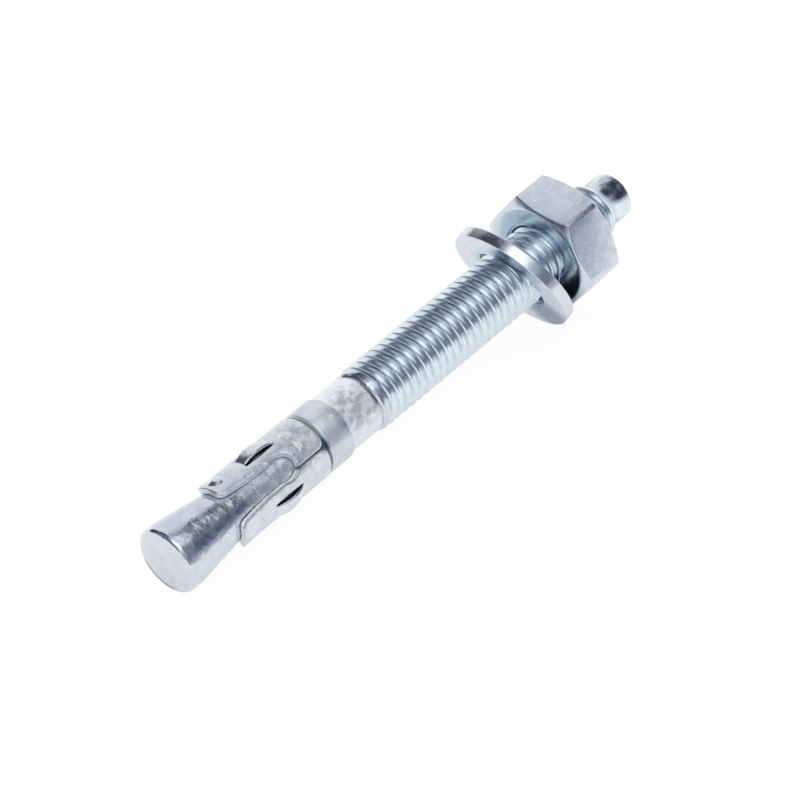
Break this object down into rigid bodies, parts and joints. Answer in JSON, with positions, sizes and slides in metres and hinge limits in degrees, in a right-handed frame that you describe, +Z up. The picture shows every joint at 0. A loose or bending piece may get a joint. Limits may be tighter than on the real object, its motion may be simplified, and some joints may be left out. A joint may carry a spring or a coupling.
{
  "type": "wedge anchor",
  "caption": "Torque-controlled expansion stud for concrete: threaded steel stud with a tapered tip, a slotted expansion clip on its neck, a loose washer and a hex nut.",
  "frame": {"origin": "on the floor under the middle of the anchor, lying at rest on its tip and on the lower rim of its washer", "axes": "+X from the tip towards the nut, level with the floor; +Z up; the stud's axis rises 3.37 degrees towards +X"},
  "size_m": [0.0958, 0.0196, 0.0186],
  "materials": {
    "stud_steel": "bright zinc plate with a faint blue tint",
    "clip_steel": "bright zinc plate on rolled sheet",
    "washer_steel": "bright zinc plate with a faint blue tint",
    "nut_steel": "bright zinc plate with a faint blue tint"
  },
  "bodies": {
    "anchor_stud": {"stud": "stud_steel"},
    "clip": {"expansion_clip": "clip_steel"},
    "loose_washer": {"washer": "washer_steel"},
    "nut": {"hex_nut": "nut_steel"}
  },
  "joints": [
    {"name": "clip_turn", "type": "hinge", "parent": "anchor_stud", "child": "clip", "pos_m": [-0.02866, 0, 0.00612], "axis": [0.9983, 0, 0.0588], "continuous": true},
    {"name": "washer_slide", "type": "slide", "parent": "anchor_stud", "child": "loose_washer", "axis": [-0.9983, 0, -0.0588], "range_m": [-0.0036, 0.0376]},
    {"name": "nut_turn", "type": "hinge", "parent": "loose_washer", "child": "nut", "pos_m": [0.03399, 0, 0.00981], "axis": [-0.9983, 0, -0.0588], "range_deg": [-840, 9000]}
  ],
  "couplings": [
    {"joint": "washer_slide", "follows": "nut_turn", "m_per_rad": 0.00023873}
  ]
}
